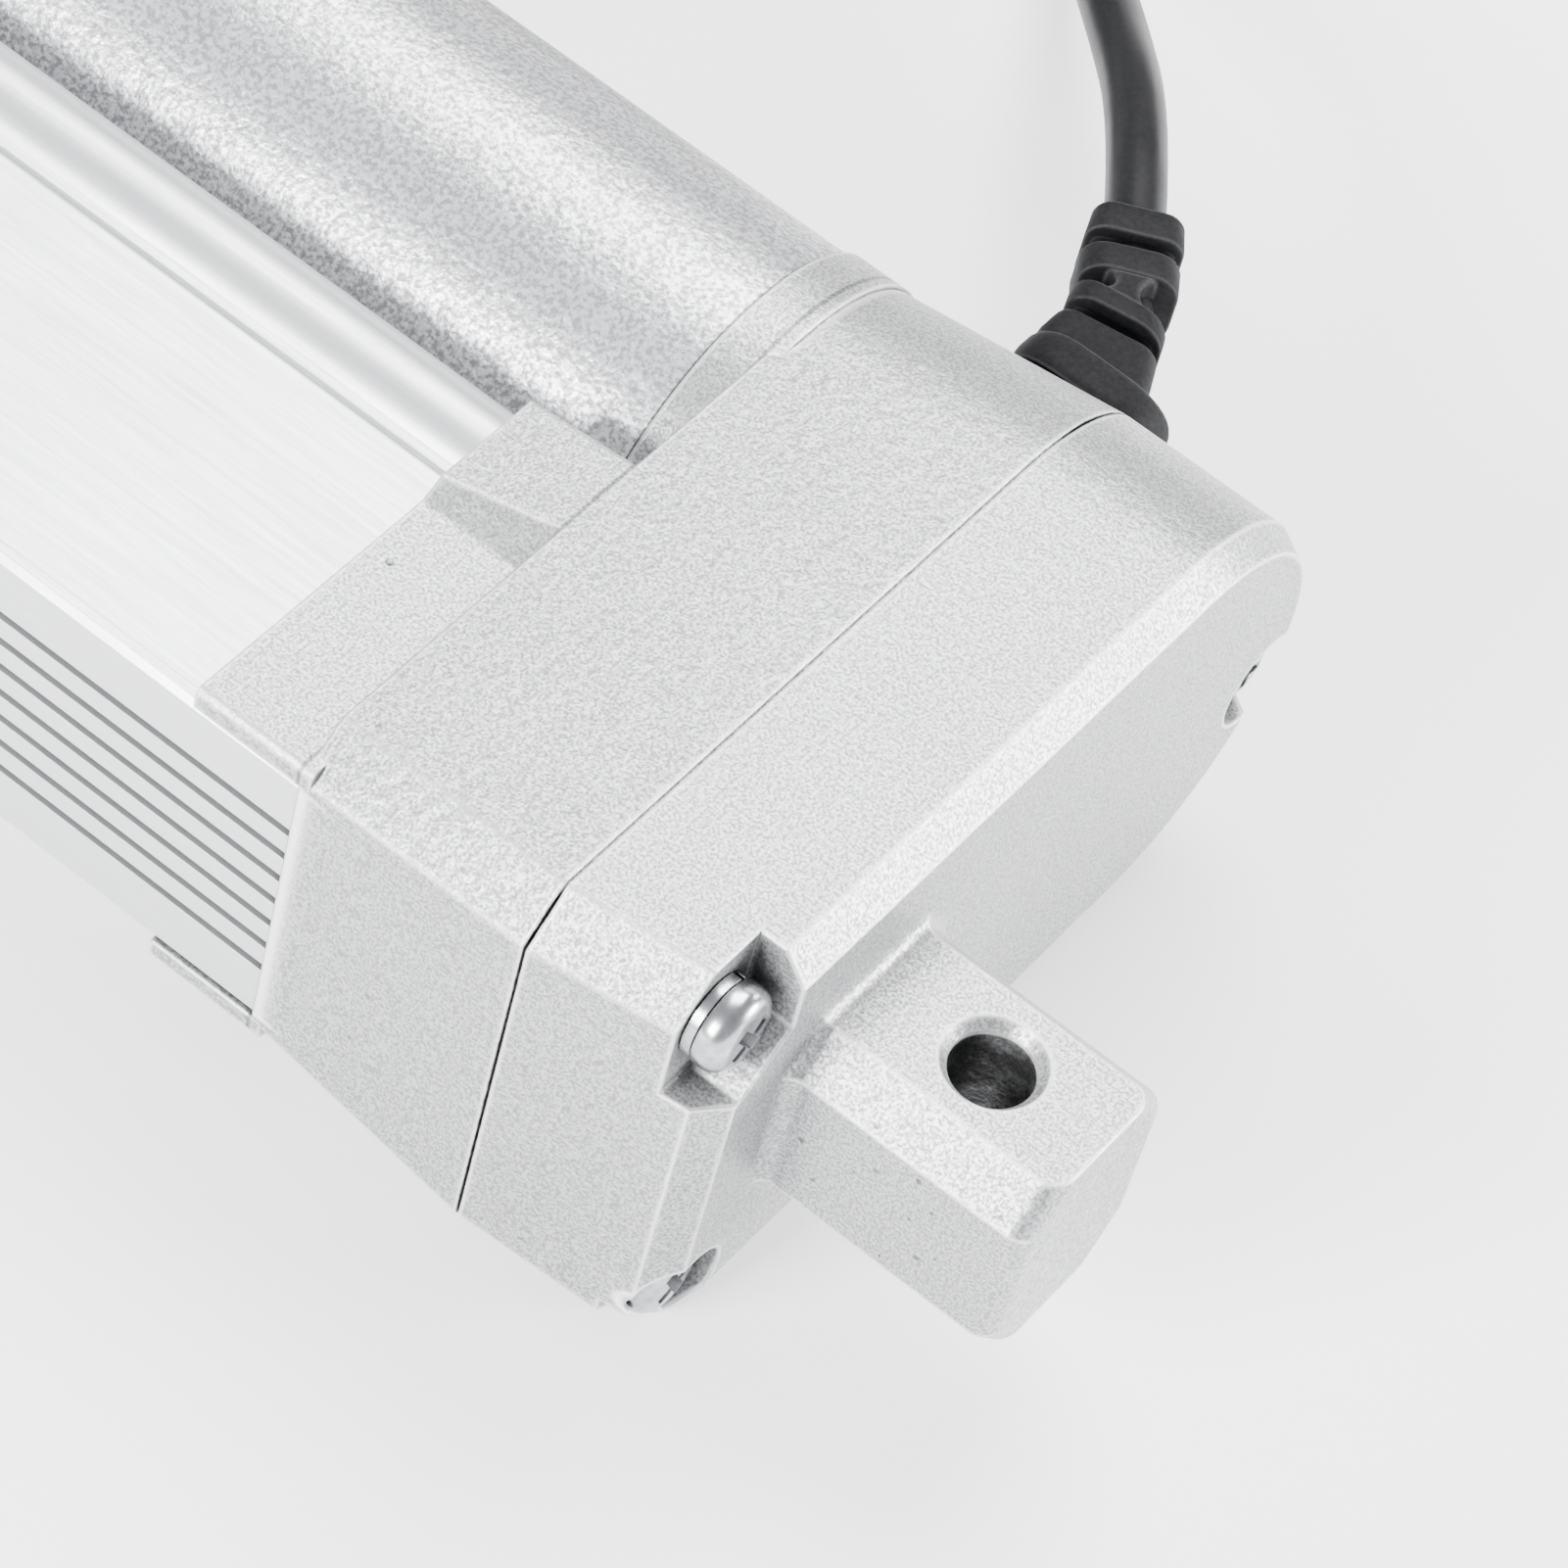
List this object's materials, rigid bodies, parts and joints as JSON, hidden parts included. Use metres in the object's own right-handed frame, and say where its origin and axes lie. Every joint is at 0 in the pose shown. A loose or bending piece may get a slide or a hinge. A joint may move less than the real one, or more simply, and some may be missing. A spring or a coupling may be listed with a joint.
{
  "type": "electric linear actuator",
  "caption": "Compact parallel-motor linear actuator: silver die-cast gear case with rear pivot lug, grooved aluminium tube, round motor housing, steel rod and black cable.",
  "frame": {"origin": "centre of the rear pivot hole, on the rod's axis", "axes": "+X along the rod towards its free end, +Z along the pivot hole and up as the actuator lies on its broad side, motor on the -Y side"},
  "size_m": [0.2246, 0.1827, 0.04],
  "materials": {
    "silver_paint": "fine orange-peel silver paint on die-cast metal",
    "zinc_steel": "bright zinc plating",
    "anodised_aluminium": "satin clear anodised, faint draw lines",
    "polished_steel": "polished",
    "bearing_steel": "ground steel",
    "core_steel": "stacked sheet steel",
    "sintered_bronze": "oil-soaked sintered bronze",
    "brass": "machined",
    "winding_copper": "enamelled copper",
    "magnet_ferrite": "ground ferrite",
    "carbon": "pressed carbon",
    "acetal": "white acetal",
    "nylon": "natural nylon, greased",
    "black_plastic": "moulded",
    "circuit_board": "glass-fibre board with green lacquer",
    "black_rubber": "moulded rubber, satin",
    "cable_sheath": "smooth black cable sheath",
    "lead_sheath": "coloured wire sheath"
  },
  "bodies": {
    "housing": {"rear_cover": "silver_paint", "gear_housing": "silver_paint", "cover_screws": "zinc_steel", "cover_spring_washers": "zinc_steel", "outer_tube": "anodised_aluminium", "front_cap": "silver_paint", "front_cap_screws": "zinc_steel", "rod_guide_bush": "black_plastic", "rod_wiper_seal": "black_rubber", "bearing_outer_ring": "bearing_steel", "bearing_balls": "bearing_steel", "compound_gear_axle": "bearing_steel", "shaft_support_bush": "sintered_bronze", "motor_front_bush": "sintered_bronze", "motor_rear_bush": "sintered_bronze", "motor_tube": "silver_paint", "motor_can": "zinc_steel", "motor_magnets": "magnet_ferrite", "carbon_brushes": "carbon", "brush_holder": "black_plastic", "motor_end_bell": "zinc_steel", "motor_end_cap": "silver_paint", "motor_screws": "zinc_steel", "limit_switch_board": "circuit_board", "rear_limit_switch": "black_plastic", "front_limit_switch": "black_plastic", "cable_relief": "black_rubber", "cable": "cable_sheath", "cable_coil": "cable_sheath", "cable_tie": "black_plastic", "cable_leads": "lead_sheath"},
    "rod": {"rod_tube": "polished_steel", "rod_end": "polished_steel", "rod_cross_pin": "bearing_steel", "drive_nut": "acetal", "switch_cam": "acetal"},
    "screw": {"lead_screw": "bearing_steel", "screw_tip_guide": "acetal", "output_gear": "nylon", "output_gear_key": "bearing_steel", "retaining_ring": "bearing_steel", "bearing_inner_ring": "bearing_steel"},
    "intermediate_gear": {"compound_gear": "nylon"},
    "armature": {"motor_shaft": "bearing_steel", "motor_pinion": "brass", "armature_core": "core_steel", "armature_windings": "winding_copper", "commutator": "winding_copper"}
  },
  "joints": [
    {"name": "armature_spin", "type": "hinge", "parent": "housing", "child": "armature", "pos_m": [0, -0.0366, 0], "axis": [1, 0, 0], "range_deg": [0, 154545.5]},
    {"name": "intermediate_gear_spin", "type": "hinge", "parent": "housing", "child": "intermediate_gear", "pos_m": [0, -0.018, 0], "axis": [1, 0, 0], "range_deg": [-37095.9, 0]},
    {"name": "screw_spin", "type": "hinge", "parent": "housing", "child": "screw", "pos_m": [0, 0, 0], "axis": [1, 0, 0], "range_deg": [0, 12001]},
    {"name": "rod_slide", "type": "slide", "parent": "housing", "child": "rod", "axis": [1, 0, 0], "range_m": [0, 0.1]}
  ],
  "couplings": [
    {"joint": "intermediate_gear_spin", "follows": "armature_spin", "ratio": -0.24},
    {"joint": "screw_spin", "follows": "armature_spin", "ratio": 0.077647},
    {"joint": "rod_slide", "follows": "armature_spin", "m_per_rad": 0.000037074}
  ]
}
